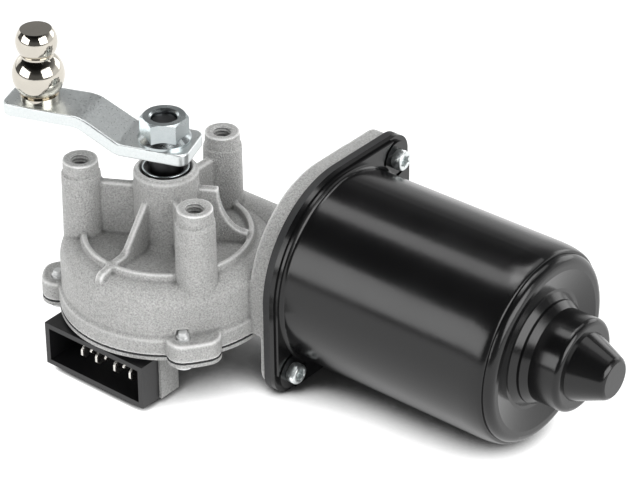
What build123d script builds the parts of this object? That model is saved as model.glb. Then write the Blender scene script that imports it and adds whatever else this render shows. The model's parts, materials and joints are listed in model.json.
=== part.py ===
from build123d import *
import os
from math import asin, cos, degrees, pi, radians, sin, sqrt, tan

# Electric wiper motor: a can motor drives a worm, which turns a worm wheel, its output shaft and
# a crank with two ball heads. Lengths are in millimetres and angles in degrees.
# The origin is on the output shaft's axis, in the plane of the three mounting boss faces.
# +Z runs up along the output shaft and +X along the armature towards the end of the can.

# The two axes
boss_height = 46.5          # from the parting plane of housing and cover up to the boss faces
armature_offset = 30.7      # from the output axis to the armature axis, along +Y
armature_height = 13.3      # armature axis above the parting plane

# Gear housing, a die casting: heights are above the parting plane
casting_wall = 2.8
drum_radius = 33.5
rim_projection = 0.9
rim_height = 6.2
wheel_headroom = 0.9        # between the worm wheel and the drum's deck
shoulder_radius = 5.5
ring_radius = 25.0          # inside of the raised ring on the drum
ring_width = 1.4
ring_height = 2.3
ring_draft = 0.8
tube_radius = 10.0
tube_below_bosses = 0.3
tube_edge = 1.2
tube_root_fillet = 3.0
boss_circle_radius = 26.5
boss_angles = (90, 210, 330)
boss_top_radius = 5.45
boss_neck_radius = 6.1
boss_neck_depth = 5.5
boss_root_radius = 6.4
web_thickness = 3.0
web_height = 39.6
arc_rib_angle = 30
arc_rib_reach = 16.0
arc_rib_setback = 6.5       # rib's top below the tube's
arc_rib_low_height = 3.6
slope_rib_angle = 270
slope_rib_height = 38.5
slope_rib_thickness = 2.2
ridge_height = 0.9          # low end of the sloping rib, outside the ring
root_overlap = 1.0          # how far the root of a rib reaches into the wall it grows from

# Mounting holes in the bosses, M6
mount_hole_radius = 2.5
mount_hole_depth = 16.0
mount_hole_mouth = 3.4
mount_mouth_angle = 130.0

# Worm tunnel and motor bracket, parts of the same casting
tunnel_radius = 9.05
tunnel_bore_radius = 6.3
tunnel_end_x = -35.0
tunnel_end_wall = 7.0
middle_bush_start = 26.0
middle_bush_length = 8.0
middle_bush_radius = 7.6
front_bush_length = 8.0
thrust_screw_radius = 4.0
thrust_screw_reach = 3.0
locknut_across_flats = 13.0
locknut_height = 4.0
bracket_face_x = 40.0
bracket_depth = 6.5
bracket_thin_depth = 2.4
bracket_inset = 1.3
bracket_pocket_radius = 25.0
bracket_pocket_depth = 3.5
spigot_length = 4.6
spigot_clearance = 0.15

# Gear pair: a single-start worm on the armature shaft, helical teeth on the wheel
tooth_count = 53
tooth_module = 1.0
addendum = 0.9
dedendum = 1.15
flank_angle = 20.0
wheel_tooth_thickness = 1.6
worm_thread_thickness = 1.15
worm_turns = 8
thread_sink = 0.15          # thread's foot below the worm's root
wheel_width = 9.0
wheel_web_thickness = 3.2
wheel_rim_depth = 4.2
wheel_spokes = 6
wheel_spoke_thickness = 1.6
hub_radius = 9.0
hub_flange_radius = 12.5
hub_flange_thickness = 2.0
slip_ring_inner = 12.0
slip_ring_outer = 20.5
slip_ring_thickness = 0.5

# Output shaft and its bearings
shaft_radius = 5.0
bush_radius = 7.4
bush_spacing = 0.3
running_clearance = 0.03
seal_case_thickness = 1.2
seal_height = 3.2
tube_mouth_radius = 8.05
tube_mouth_depth = 1.0
knurl_taper = 0.5
thread_radius = 4.0
shaft_end_below_nut = 1.3
shaft_foot = 4.0             # lower end of the shaft above the parting plane
washer_radius = 9.6
washer_thickness = 0.9
washer_play = 0.2

# Crank and its flange nut
crank_gap = 5.5             # from the tube's mouth up to the crank
crank_thickness = 4.0
crank_direction = 199.7
crank_width = 16.8
crank_tip_width = 15.2
crank_root_overhang = 9.8
crank_throw = 40.5
crank_tip_overhang = 9.9
crank_rise = 7.1
joggle_start = 13.0
joggle_end = 25.5
joggle_bend_radius = 7.0
crank_corner = 3.2
nut_across_flats = 13.0
nut_flange_radius = 8.15
nut_flange_thickness = 0.9
nut_cone_height = 1.3
nut_height = 8.0
nut_mouth_radius = 4.6
nut_bevel_angle = 30.0
nut_turn = 38.2             # flat towards the front

# Double ball stud riveted into the crank
lower_ball_radius = 8.1
lower_ball_height = 8.0     # ball centre above the crank's upper face
upper_ball_radius = 6.45
ball_spacing = 11.05
top_flat_radius = 4.85
stud_collar_radius = 6.0
stud_collar_height = 1.6
stud_neck_radius = 5.0
stud_shank_radius = 5.0

# Cover, gasket and connector, below the parting plane
gasket_thickness = 0.5
cover_thickness = 2.5
cover_ear_width = 10.4
ear_spread = 0.5            # screws' circle outside the drum
far_ear_spread = 1.2        # the same for the ear on the left
# Each ear's screw angle, the angle where its arc ends, and its distance outside the drum
ears = (
    (-42.0, -31.0, ear_spread),
    (-142.5, -148.0, far_ear_spread),
    (147.0, 152.0, ear_spread),
    (43.0, 36.0, ear_spread),
)
cover_screw_radius = 2.0
cover_screw_tip = 8.3       # tip above the parting plane
cover_screw_head_radius = 3.4
cover_screw_head_height = 2.3
screw_hole_clearance = 0.2
thread_fit = 0.04
socket_left_x = -22.6
socket_right_x = 17.4
socket_inset = 0.3          # socket's mouth inside the drum's front
socket_top_depth = 3.0      # below the parting plane
socket_height = 15.0
socket_collar_depth = 7.6
socket_wall = 1.7
socket_cavity_depth = 11.6
box_wall = 1.0
box_reach = 0.9             # box beyond the socket towards the can
box_depth = 15.5
terminal_positions = (-9.2, -3.3, 4.2, 10.5)
terminal_partner = 2.8
terminal_thickness = 0.8
terminal_height = 4.4
terminal_bevel = 1.2
terminal_drop = 4.2         # blade's upper edge below the socket's outer top
terminal_setback = 1.6      # blade tip behind the socket's mouth
partner_setback = 2.6
terminal_leg_width = 2.0
terminal_leg_top = 3.2      # above the parting plane
plug_height = 1.0
plug_depth = 4.6
plug_margin = 0.8
contact_plate_radius = 27.0
contact_plate_thickness = 1.6
contact_plate_bore = 10.0
contact_radii = (13.5, 16.2, 18.9)
contact_width = 1.8
contact_sheet = 0.35
contact_foot = 5.0
contact_reach = 12.0
contact_gap = 0.06

# Can motor
can_radius = 31.4
can_wall = 1.6
can_length = 76.5           # from the flange's outer face to the end face
can_flange_thickness = 1.6
can_gasket_thickness = 2.4
flange_rim = 2.2            # flange beyond the can's wall
flange_ear_radius = 7.2
flange_ear_offset = 5.35    # ear centres beyond the can's wall
flange_ear_angle = 45.0
flange_margin = 0.6         # flat edge round the flange's raised field
flange_field_height = 1.2
screw_pad_radius = 5.6
screw_pad_groove = 1.2
can_screw_radius = 2.5
can_screw_head_radius = 3.3
can_screw_head_height = 3.2
can_screw_socket_radius = 1.7
can_screw_length = 10.0
can_root_fillet = 1.3
can_shoulder_length = 7.0
can_shoulder_drop = 1.3
can_end_step = 1.8          # end's rim inside the can's wall
can_end_corner = 2.6
can_end_flat = 1.5
can_dish_radius = 19.0
can_dish_depth = 1.7
collar_radius = 16.3
collar_height = 0.9
cup_radius = 14.7
cup_length = 12.8           # from the end face to the face of the cup
cup_root = 2.9
cup_corner = 1.8
nose_base_radius = 10.8
nose_tip_radius = 6.9
nose_length = 10.6
nose_rounding = 1.3

# Inside the can
magnet_thickness = 6.2
magnet_arc = 128.0
magnet_length = 46.0
magnet_start_x = 66.0
air_gap = 0.7
core_length = 38.0
core_start_x = 70.0
slot_count = 12
slot_width = 2.4
slot_depth = 9.0
slot_mouth = 1.4
tooth_tip = 1.8
winding_overhang = 6.5
commutator_radius = 10.5
commutator_length = 14.0
commutator_start_x = 48.0
commutator_slit = 0.6
commutator_slit_depth = 0.8
riser_radius = 12.0
riser_length = 1.6
commutator_bars = 12
brush_plate_thickness = 2.0
brush_plate_bore = 12.6
brush_plate_clearance = 0.2
brush_width = 6.0
brush_length = 8.0
brush_height = 8.5
brush_angles = (0, 180, 240)
brush_gap = 0.08
holder_wall = 0.6
holder_fit = 0.1
holder_foot = 1.2
holder_length = 9.6
holder_setback = 1.0        # holder's mouth outside the commutator
spring_sheet = 0.4
spring_width = 3.0
armature_shaft_radius = 4.0
journal_radius = 3.0
thrust_pad_thickness = 1.5
rear_bush_radius = 8.6
rear_bush_length = 9.0
retainer_setback = 3.0
retainer_thickness = 0.8
thrust_play = 0.1
shaft_end_play = 1.0

# Sizes that follow from the ones above
drum_height = armature_height + wheel_width / 2 + wheel_headroom + casting_wall
rim_radius = drum_radius + rim_projection
flange_radius = can_radius + flange_rim
flange_ear_distance = can_radius + flange_ear_offset
can_end_radius = can_radius - can_end_step
socket_front_y = socket_inset - drum_radius
box_back_y = socket_front_y + box_depth

# Heights of the driving planes, all measured from the boss faces
parting = -boss_height
axis_z = parting + armature_height
tube_top = boss_height - tube_below_bosses
output_axis = Axis.Z
armature_axis = Axis((0, armature_offset, axis_z), (1, 0, 0))
standing = (Align.CENTER, Align.CENTER, Align.MIN)
outward = (Align.MIN, Align.CENTER)


def level(height):
    """Horizontal plane at a height above the parting plane."""
    return Plane.XY.offset(parting + height)


def upright(angle=0):
    """Plane through the output axis, X outwards at an angle and Y up from the parting plane."""
    along = (cos(radians(angle)), sin(radians(angle)), 0)
    normal = (sin(radians(angle)), -cos(radians(angle)), 0)
    return Plane(origin=(0, 0, parting), x_dir=along, z_dir=normal)


def across(x):
    """Plane square to the armature axis at x, its own X along +Y and its own Y up."""
    return Plane(origin=(x, armature_offset, axis_z), x_dir=(0, 1, 0), z_dir=(1, 0, 0))


lengthwise = Plane(origin=(0, armature_offset, axis_z), x_dir=(1, 0, 0), z_dir=(0, -1, 0))


def turned_upright(*points):
    """Piece turned about the output axis from radius and height points."""
    with BuildPart() as piece:
        with BuildSketch(upright()):
            with BuildLine():
                Polyline(*points, close=True)
            make_face()
        revolve(axis=output_axis)
    return piece


def turned_lengthwise(*points):
    """Piece turned about the armature axis from x and radius points."""
    with BuildPart() as piece:
        with BuildSketch(lengthwise):
            with BuildLine():
                Polyline(*points, close=True)
            make_face()
        revolve(axis=armature_axis)
    return piece


def ear_outline(width):
    """Rounded ears on the drum's rim, as a sketch in the plane that is open."""
    for screw_angle, end_angle, distance in ears:
        first, last = sorted((screw_angle, end_angle))
        ear_arc = Edge.make_circle(drum_radius + distance, start_angle=first, end_angle=last)
        SlotArc(ear_arc, width)


def ear_screw_points():
    """Centres of the cover screws."""
    return [
        Vector(drum_radius + distance, 0).rotate(Axis.Z, screw_angle)
        for screw_angle, _, distance in ears
    ]


def flange_face(x, radius, ear_radius, above_parting=False):
    """Round flange with two ears on a diagonal, square to the armature axis."""
    lean = degrees(asin((radius - ear_radius) / flange_ear_distance))
    with BuildSketch(across(x)) as flange:
        Circle(radius)
        with PolarLocations(flange_ear_distance, 2, flange_ear_angle):
            Circle(ear_radius)
        for middle in (flange_ear_angle, flange_ear_angle + 180):
            ear_centre = Vector(flange_ear_distance, 0).rotate(Axis.Z, middle)
            for side in (-1, 1):
                normal = Vector(1, 0).rotate(Axis.Z, middle + side * (90 - lean))
                tangent_start = normal * radius
                tangent_end = ear_centre + normal * ear_radius
                with BuildLine():
                    Polyline((0, 0), tangent_start, tangent_end, ear_centre, close=True)
                make_face()
        if above_parting:
            with Locations((0, -armature_height)):
                Rectangle(4 * radius, 2 * radius, align=(Align.CENTER, Align.MAX), mode=Mode.SUBTRACT)
    return flange.sketch


def radial_face(angle, *points):
    """Outline in the upright plane through the output axis, from radius and height points."""
    with BuildSketch(upright(angle)) as outline:
        with BuildLine():
            Polyline(*points, close=True)
        make_face()
    return outline.sketch


# Gear housing
bracket_back_x = bracket_face_x - bracket_depth
cavity_radius = drum_radius - casting_wall
cavity_height = drum_height - casting_wall
cavity_corner = shoulder_radius - casting_wall
arc_rib_top = tube_top - arc_rib_setback
flange_x = bracket_face_x + can_gasket_thickness
can_face_x = flange_x + can_flange_thickness
spigot_radius = can_radius - can_wall - spigot_clearance
tunnel_bore_start = tunnel_end_x + tunnel_end_wall


def drum_profile():
    """Outside of the drum and the shaft tube, turned about the output axis."""
    ring_outer = ring_radius + ring_width
    ring_top = drum_height + ring_height
    rim_bevel = rim_radius - drum_radius
    fillet_centre = (tube_radius + tube_root_fillet, drum_height + tube_root_fillet)
    Polyline(
        (0, tube_top),
        (0, 0),
        (rim_radius, 0),
        (rim_radius, rim_height - rim_bevel),
        (drum_radius, rim_height),
        (drum_radius, drum_height - shoulder_radius),
    )
    CenterArc((drum_radius - shoulder_radius, drum_height - shoulder_radius), shoulder_radius, 0, 90)
    Polyline(
        (drum_radius - shoulder_radius, drum_height),
        (ring_outer + ring_draft, drum_height),
        (ring_outer, ring_top),
        (ring_radius, ring_top),
        (ring_radius - ring_draft / 2, drum_height),
        (fillet_centre[0], drum_height),
    )
    CenterArc(fillet_centre, tube_root_fillet, 270, -90)
    Polyline(
        (tube_radius, fillet_centre[1]),
        (tube_radius, tube_top - tube_edge),
        (tube_radius - tube_edge, tube_top),
        (0, tube_top),
    )


with BuildPart() as gear_housing:
    with BuildSketch(upright()):
        with BuildLine():
            drum_profile()
        make_face()
    revolve(axis=output_axis)
    # Ears for the cover screws
    with BuildSketch(level(0)):
        ear_outline(cover_ear_width)
    extrude(amount=rim_height)
    # Mounting bosses and the webs that tie them to the tube
    with Locations((0, 0, parting)):
        with PolarLocations(boss_circle_radius, len(boss_angles), boss_angles[0]):
            with Locations((0, 0, boss_height - boss_neck_depth)):
                Cone(boss_neck_radius, boss_top_radius, boss_neck_depth, align=standing)
            with Locations((0, 0, cavity_height)):
                Cone(
                    boss_root_radius,
                    boss_neck_radius,
                    boss_height - boss_neck_depth - cavity_height,
                    align=standing,
                )
    for angle in boss_angles:
        web = radial_face(
            angle,
            (0, drum_height - root_overlap),
            (boss_circle_radius, drum_height - root_overlap),
            (boss_circle_radius, web_height),
            (0, web_height),
        )
        extrude(web, amount=web_thickness / 2, both=True)
    # Straight sloping rib, which runs on as a low ridge to the shoulder
    slope_rib = radial_face(
        slope_rib_angle,
        (0, drum_height - root_overlap),
        (drum_radius - shoulder_radius, drum_height - root_overlap),
        (drum_radius - shoulder_radius, drum_height),
        (ring_radius + ring_width, drum_height + ridge_height),
        (ring_radius, drum_height + ring_height),
        (tube_radius, slope_rib_height),
        (0, slope_rib_height),
    )
    extrude(slope_rib, amount=slope_rib_thickness / 2, both=True)
    # Rib that sweeps down in an arc and runs on low to the ring
    with BuildSketch(upright(arc_rib_angle)):
        with BuildLine():
            low = drum_height + arc_rib_low_height
            Polyline(
                (arc_rib_reach, arc_rib_top),
                (0, arc_rib_top),
                (0, drum_height - root_overlap),
                (ring_radius, drum_height - root_overlap),
                (ring_radius, low),
            )
            EllipticalCenterArc(
                (ring_radius, arc_rib_top),
                ring_radius - arc_rib_reach,
                arc_rib_top - low,
                start_angle=180,
                arc_size=90,
            )
        make_face()
    extrude(amount=web_thickness / 2, both=True)
    # Worm tunnel
    with BuildSketch(across(tunnel_end_x)):
        Circle(tunnel_radius)
    extrude(amount=bracket_back_x + root_overlap - tunnel_end_x)
    # Neck between drum and bracket
    neck_top = drum_height - casting_wall
    with BuildSketch(level(0)):
        with BuildLine():
            Polyline(
                (0, 0),
                (bracket_back_x + root_overlap, 0),
                (bracket_back_x + root_overlap, armature_offset),
                (0, armature_offset),
                close=True,
            )
        make_face()
    extrude(amount=neck_top)
    # Bracket, full depth above the parting plane and thin below it
    bracket_radius = flange_radius - bracket_inset
    bracket_ear_radius = flange_ear_radius - bracket_inset
    thin_bracket = flange_face(bracket_face_x, bracket_radius, bracket_ear_radius)
    extrude(thin_bracket, amount=-bracket_thin_depth)
    deep_bracket = flange_face(bracket_face_x, bracket_radius, bracket_ear_radius, above_parting=True)
    extrude(deep_bracket, amount=-bracket_depth)
    # Spigot that centres the can
    with BuildSketch(across(bracket_face_x)):
        Circle(spigot_radius)
    extrude(amount=spigot_length)
    # Gear cavity
    with BuildSketch(upright()):
        with BuildLine():
            Polyline(
                (cavity_radius - cavity_corner, cavity_height),
                (0, cavity_height),
                (0, 0),
                (cavity_radius, 0),
                (cavity_radius, cavity_height - cavity_corner),
            )
            CenterArc((cavity_radius - cavity_corner, cavity_height - cavity_corner), cavity_corner, 0, 90)
        make_face()
    revolve(axis=output_axis, mode=Mode.SUBTRACT)
    # Bore for the bushes and the seal, with a groove round the seal at the mouth
    with BuildSketch(level(0)):
        Circle(bush_radius)
    extrude(amount=tube_top, mode=Mode.SUBTRACT)
    with BuildSketch(level(tube_top)):
        Circle(tube_mouth_radius)
    extrude(amount=-tube_mouth_depth, mode=Mode.SUBTRACT)
    # Worm bore, seat of the middle bush and the pocket behind the brushes
    with BuildSketch(across(tunnel_bore_start)):
        Circle(tunnel_bore_radius)
    extrude(amount=bracket_face_x - tunnel_bore_start, mode=Mode.SUBTRACT)
    with BuildSketch(across(middle_bush_start)):
        Circle(middle_bush_radius)
    extrude(amount=bracket_face_x - middle_bush_start, mode=Mode.SUBTRACT)
    with BuildSketch(across(bracket_face_x + spigot_length)):
        Circle(bracket_pocket_radius)
    extrude(amount=-(bracket_pocket_depth + spigot_length), mode=Mode.SUBTRACT)
    with BuildSketch(across(tunnel_end_x)):
        Circle(thrust_screw_radius)
    extrude(amount=tunnel_bore_start - tunnel_end_x, mode=Mode.SUBTRACT)
    # Tapped holes in the bosses and ears
    with Locations((0, 0, 0)):
        with PolarLocations(boss_circle_radius, len(boss_angles), boss_angles[0]):
            CounterSinkHole(mount_hole_radius, mount_hole_mouth, mount_hole_depth, mount_mouth_angle)
    with BuildSketch(level(0)):
        with Locations(*ear_screw_points()):
            Circle(cover_screw_radius + thread_fit)
    extrude(amount=cover_screw_tip + screw_hole_clearance, mode=Mode.SUBTRACT)
    with BuildSketch(across(bracket_face_x)):
        with PolarLocations(flange_ear_distance, 2, flange_ear_angle):
            Circle(can_screw_radius + thread_fit)
    extrude(amount=-bracket_depth, mode=Mode.SUBTRACT)


# Worm wheel, hub, slip ring and output shaft
wheel_pitch_radius = tooth_count * tooth_module / 2
wheel_tip_radius = wheel_pitch_radius + addendum * tooth_module
wheel_root_radius = wheel_pitch_radius - dedendum * tooth_module
worm_pitch_radius = armature_offset - wheel_pitch_radius
worm_tip_radius = worm_pitch_radius + addendum * tooth_module
worm_root_radius = worm_pitch_radius - dedendum * tooth_module
pitch = pi * tooth_module
lead_slope = pitch / (2 * pi * worm_pitch_radius)
flank_slope = tan(radians(flank_angle))
wheel_bottom = armature_height - wheel_width / 2
wheel_top = armature_height + wheel_width / 2
hub_top = cavity_height - washer_play - washer_thickness


def wheel_outline(turn):
    """Corner points of all the teeth, with a tooth centred on +Y before the turn."""
    points = []
    for tooth in range(tooth_count):
        for radius, side in (
            (wheel_root_radius, -1),
            (wheel_tip_radius, -1),
            (wheel_tip_radius, 1),
            (wheel_root_radius, 1),
        ):
            thickness = wheel_tooth_thickness - 2 * (radius - wheel_pitch_radius) * flank_slope
            angle = 90 + turn + 360 * tooth / tooth_count + side * degrees(thickness / 2 / radius)
            points.append((radius * cos(radians(angle)), radius * sin(radians(angle))))
    return points


with BuildPart() as worm_wheel:
    lean = degrees(wheel_width / 2 * lead_slope / wheel_pitch_radius)
    for height, turn in ((wheel_bottom, -lean), (wheel_top, lean)):
        with BuildSketch(level(height)):
            with BuildLine():
                Polyline(*wheel_outline(turn), close=True)
            make_face()
    loft(ruled=True)
    with BuildSketch(level(wheel_bottom + wheel_web_thickness)):
        Circle(wheel_root_radius - wheel_rim_depth)
        Circle(hub_flange_radius, mode=Mode.SUBTRACT)
        with PolarLocations(0, wheel_spokes):
            Rectangle(wheel_root_radius, wheel_spoke_thickness, align=outward, mode=Mode.SUBTRACT)
    extrude(amount=wheel_width, mode=Mode.SUBTRACT)
    with BuildSketch(level(wheel_bottom)):
        Circle(hub_radius)
    extrude(amount=wheel_width, mode=Mode.SUBTRACT)
    with BuildSketch(level(wheel_bottom + wheel_web_thickness)):
        Circle(hub_flange_radius)
    extrude(amount=wheel_width, mode=Mode.SUBTRACT)

wheel_hub = turned_upright(
    (shaft_radius, wheel_bottom),
    (hub_radius, wheel_bottom),
    (hub_radius, wheel_bottom + wheel_web_thickness),
    (hub_flange_radius, wheel_bottom + wheel_web_thickness),
    (hub_flange_radius, wheel_bottom + wheel_web_thickness + hub_flange_thickness),
    (hub_radius, wheel_bottom + wheel_web_thickness + hub_flange_thickness),
    (hub_radius, hub_top),
    (shaft_radius, hub_top),
)
slip_ring = turned_upright(
    (slip_ring_inner, wheel_bottom),
    (slip_ring_outer, wheel_bottom),
    (slip_ring_outer, wheel_bottom - slip_ring_thickness),
    (slip_ring_inner, wheel_bottom - slip_ring_thickness),
)
thrust_washer = turned_upright(
    (shaft_radius + running_clearance, hub_top),
    (washer_radius, hub_top),
    (washer_radius, hub_top + washer_thickness),
    (shaft_radius + running_clearance, hub_top + washer_thickness),
)

crank_bottom = tube_top + crank_gap
crank_top = crank_bottom + crank_thickness
nut_top = crank_top + nut_height
shaft_chamfer = 0.6
output_shaft = turned_upright(
    (0, shaft_foot),
    (shaft_radius - shaft_chamfer, shaft_foot),
    (shaft_radius, shaft_foot + shaft_chamfer),
    (shaft_radius, crank_bottom),
    (shaft_radius - knurl_taper, crank_top),
    (thread_radius, crank_top),
    (thread_radius, nut_top - shaft_end_below_nut - shaft_chamfer),
    (thread_radius - shaft_chamfer, nut_top - shaft_end_below_nut),
    (0, nut_top - shaft_end_below_nut),
)

seal_bottom = tube_top - seal_height
bush_length = (seal_bottom - cavity_height - bush_spacing) / 2


def bush_upright(bottom):
    """Sintered bush in the tube, running on the output shaft."""
    return turned_upright(
        (shaft_radius + running_clearance, bottom),
        (bush_radius, bottom),
        (bush_radius, bottom + bush_length),
        (shaft_radius + running_clearance, bottom + bush_length),
    )


lower_bush = bush_upright(cavity_height)
upper_bush = bush_upright(seal_bottom - bush_length)
seal_inner = bush_radius - seal_case_thickness
seal_case = turned_upright(
    (seal_inner, seal_bottom),
    (bush_radius, seal_bottom),
    (bush_radius, tube_top),
    (seal_inner, tube_top),
)
shaft_seal = turned_upright(
    (shaft_radius + running_clearance, seal_bottom),
    (seal_inner, seal_bottom),
    (seal_inner, tube_top - seal_case_thickness / 2),
    (shaft_radius + running_clearance, tube_top - seal_case_thickness),
)

# Crank: a strip with a joggle, cut to its outline
with BuildPart() as crank_arm:
    tip = crank_throw + crank_tip_overhang
    with BuildSketch(upright(crank_direction)):
        with BuildLine():
            underside = FilletPolyline(
                (-crank_root_overhang, crank_bottom),
                (joggle_start, crank_bottom),
                (joggle_end, crank_bottom + crank_rise),
                (tip, crank_bottom + crank_rise),
                radius=joggle_bend_radius,
            )
            offset(underside, amount=crank_thickness, side=Side.LEFT)
        make_face()
    extrude(amount=crank_width, both=True)
    crank_plane = level(crank_bottom).rotated((0, 0, crank_direction))
    with BuildSketch(crank_plane) as crank_outline:
        with BuildLine():
            Polyline(
                (-crank_root_overhang, -crank_width / 2),
                (tip, -crank_tip_width / 2),
                (tip, crank_tip_width / 2),
                (-crank_root_overhang, crank_width / 2),
                close=True,
            )
        make_face()
        fillet(crank_outline.vertices(), crank_corner)
    extrude(amount=crank_thickness + crank_rise, mode=Mode.INTERSECT)
    with Locations((0, 0, parting + crank_bottom)):
        Cone(
            shaft_radius,
            shaft_radius - knurl_taper,
            crank_thickness,
            align=standing,
            mode=Mode.SUBTRACT,
        )
    with BuildSketch(crank_plane):
        with Locations((crank_throw, 0)):
            Circle(stud_shank_radius)
    extrude(amount=crank_thickness + crank_rise, mode=Mode.SUBTRACT)

# Flange nut
with BuildPart() as crank_nut:
    cone_top = nut_flange_thickness + nut_cone_height
    with BuildSketch(upright()):
        with BuildLine():
            Polyline(
                (0, crank_top),
                (nut_flange_radius, crank_top),
                (nut_flange_radius, crank_top + nut_flange_thickness),
                (nut_across_flats / 2, crank_top + cone_top),
                (0, crank_top + cone_top),
                close=True,
            )
        make_face()
    revolve(axis=output_axis)
    with BuildSketch(level(crank_top + nut_flange_thickness)):
        RegularPolygon(nut_across_flats / 2, 6, major_radius=False, rotation=nut_turn)
    extrude(amount=nut_height - nut_flange_thickness)
    corner_radius = nut_across_flats / sqrt(3)
    bevel_drop = (corner_radius - nut_across_flats / 2) * tan(radians(nut_bevel_angle))
    with BuildSketch(upright()):
        with BuildLine():
            Polyline(
                (nut_across_flats / 2, nut_top),
                (2 * corner_radius - nut_across_flats / 2, nut_top),
                (2 * corner_radius - nut_across_flats / 2, nut_top - 2 * bevel_drop),
                close=True,
            )
        make_face()
    revolve(axis=output_axis, mode=Mode.SUBTRACT)
    with BuildSketch(upright()):
        with BuildLine():
            Polyline(
                (0, crank_top),
                (thread_radius, crank_top),
                (thread_radius, nut_top - nut_mouth_radius + thread_radius),
                (nut_mouth_radius, nut_top),
                (0, nut_top),
                close=True,
            )
        make_face()
    revolve(axis=output_axis, mode=Mode.SUBTRACT)

# Double ball stud, turned about its own axis at the crank's tip
stud_axis_point = Vector(crank_throw, 0, 0).rotate(Axis.Z, crank_direction)
stud_axis = Axis(stud_axis_point, (0, 0, 1))
stud_seat = crank_top + crank_rise
lower_ball_centre = stud_seat + lower_ball_height
upper_ball_centre = lower_ball_centre + ball_spacing


def ball_angle(radius, ball_radius):
    """Angle above the ball's equator where its surface has this radius."""
    return degrees(asin(sqrt(ball_radius**2 - radius**2) / ball_radius))


with BuildPart() as ball_stud:
    stud_plane = Plane(origin=stud_axis_point + Vector(0, 0, parting), x_dir=(1, 0, 0), z_dir=(0, -1, 0))
    lower_start = ball_angle(stud_neck_radius, lower_ball_radius)
    upper_start = ball_angle(stud_neck_radius, upper_ball_radius)
    upper_end = ball_angle(top_flat_radius, upper_ball_radius)
    lower_rise = sqrt(lower_ball_radius**2 - stud_neck_radius**2)
    upper_rise = sqrt(upper_ball_radius**2 - stud_neck_radius**2)
    flat_rise = sqrt(upper_ball_radius**2 - top_flat_radius**2)
    with BuildSketch(stud_plane):
        with BuildLine():
            Polyline(
                (0, upper_ball_centre + flat_rise),
                (0, stud_seat - crank_thickness),
                (stud_shank_radius, stud_seat - crank_thickness),
                (stud_shank_radius, stud_seat),
                (stud_collar_radius, stud_seat),
                (stud_collar_radius, stud_seat + stud_collar_height),
                (stud_neck_radius, stud_seat + stud_collar_height),
                (stud_neck_radius, lower_ball_centre - lower_rise),
            )
            CenterArc((0, lower_ball_centre), lower_ball_radius, -lower_start, 2 * lower_start)
            neck_start = (stud_neck_radius, lower_ball_centre + lower_rise)
            neck_end = (stud_neck_radius, upper_ball_centre - upper_rise)
            Line(neck_start, neck_end)
            CenterArc((0, upper_ball_centre), upper_ball_radius, -upper_start, upper_start + upper_end)
            Line((top_flat_radius, upper_ball_centre + flat_rise), (0, upper_ball_centre + flat_rise))
        make_face()
    revolve(axis=stud_axis)

# Cover, its gasket and screws
cover_top = -gasket_thickness
cover_bottom = cover_top - cover_thickness
with BuildPart() as cover_gasket:
    with BuildSketch(level(cover_top)):
        Circle(rim_radius)
        ear_outline(cover_ear_width)
        Circle(cavity_radius, mode=Mode.SUBTRACT)
        with Locations(*ear_screw_points()):
            Circle(cover_screw_radius + screw_hole_clearance, mode=Mode.SUBTRACT)
    extrude(amount=gasket_thickness)

socket_top = -socket_top_depth
socket_bottom = socket_top - socket_height
collar_back_y = socket_front_y + socket_collar_depth
box_right_x = socket_right_x + box_reach
plug_left_x = terminal_positions[0] - plug_margin
plug_right_x = terminal_positions[-1] + terminal_partner + terminal_thickness + plug_margin
plug_back_y = box_back_y - box_wall
plug_front_y = plug_back_y - plug_depth


def block_sketch(height, left, right, front, back):
    """Rectangle on a level, from its four sides."""
    with BuildSketch(level(height)) as block:
        with Locations(((left + right) / 2, (front + back) / 2)):
            Rectangle(right - left, back - front)
    return block.sketch


with BuildPart() as gear_cover:
    with BuildSketch(level(cover_bottom)):
        Circle(rim_radius)
        ear_outline(cover_ear_width)
        with Locations(*ear_screw_points()):
            Circle(cover_screw_radius + screw_hole_clearance, mode=Mode.SUBTRACT)
    extrude(amount=cover_thickness)
    # Box that holds the connector
    box = block_sketch(socket_bottom, socket_left_x, box_right_x, collar_back_y, box_back_y)
    extrude(box, amount=cover_bottom - socket_bottom)
    box_inside = block_sketch(
        socket_bottom + box_wall,
        socket_left_x + box_wall,
        box_right_x - box_wall,
        collar_back_y,
        plug_back_y,
    )
    extrude(box_inside, amount=cover_bottom - socket_bottom - box_wall, mode=Mode.SUBTRACT)
    plug_hole = block_sketch(cover_bottom, plug_left_x, plug_right_x, plug_front_y, plug_back_y)
    extrude(plug_hole, amount=cover_thickness, mode=Mode.SUBTRACT)

with BuildPart() as cover_screws:
    head_face = cover_bottom - cover_screw_head_height
    with BuildSketch(level(head_face)):
        with Locations(*ear_screw_points()):
            Circle(cover_screw_head_radius)
    extrude(amount=cover_screw_head_height)
    head_edges = cover_screws.edges().group_by(Axis.Z)[0]
    fillet(head_edges, cover_screw_head_height / 3)
    with BuildSketch(level(cover_bottom)):
        with Locations(*ear_screw_points()):
            Circle(cover_screw_radius)
    extrude(amount=cover_screw_tip - cover_bottom)
    tip_edges = cover_screws.edges().group_by(Axis.Z)[-1]
    chamfer(tip_edges, cover_screw_radius / 4)

# Connector: eight bent blades in a moulded socket
blade_top = socket_top - terminal_drop
blade_bottom = blade_top - terminal_height
leg_back_y = plug_back_y - (plug_depth - terminal_leg_width) / 2
leg_front_y = leg_back_y - terminal_leg_width


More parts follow.
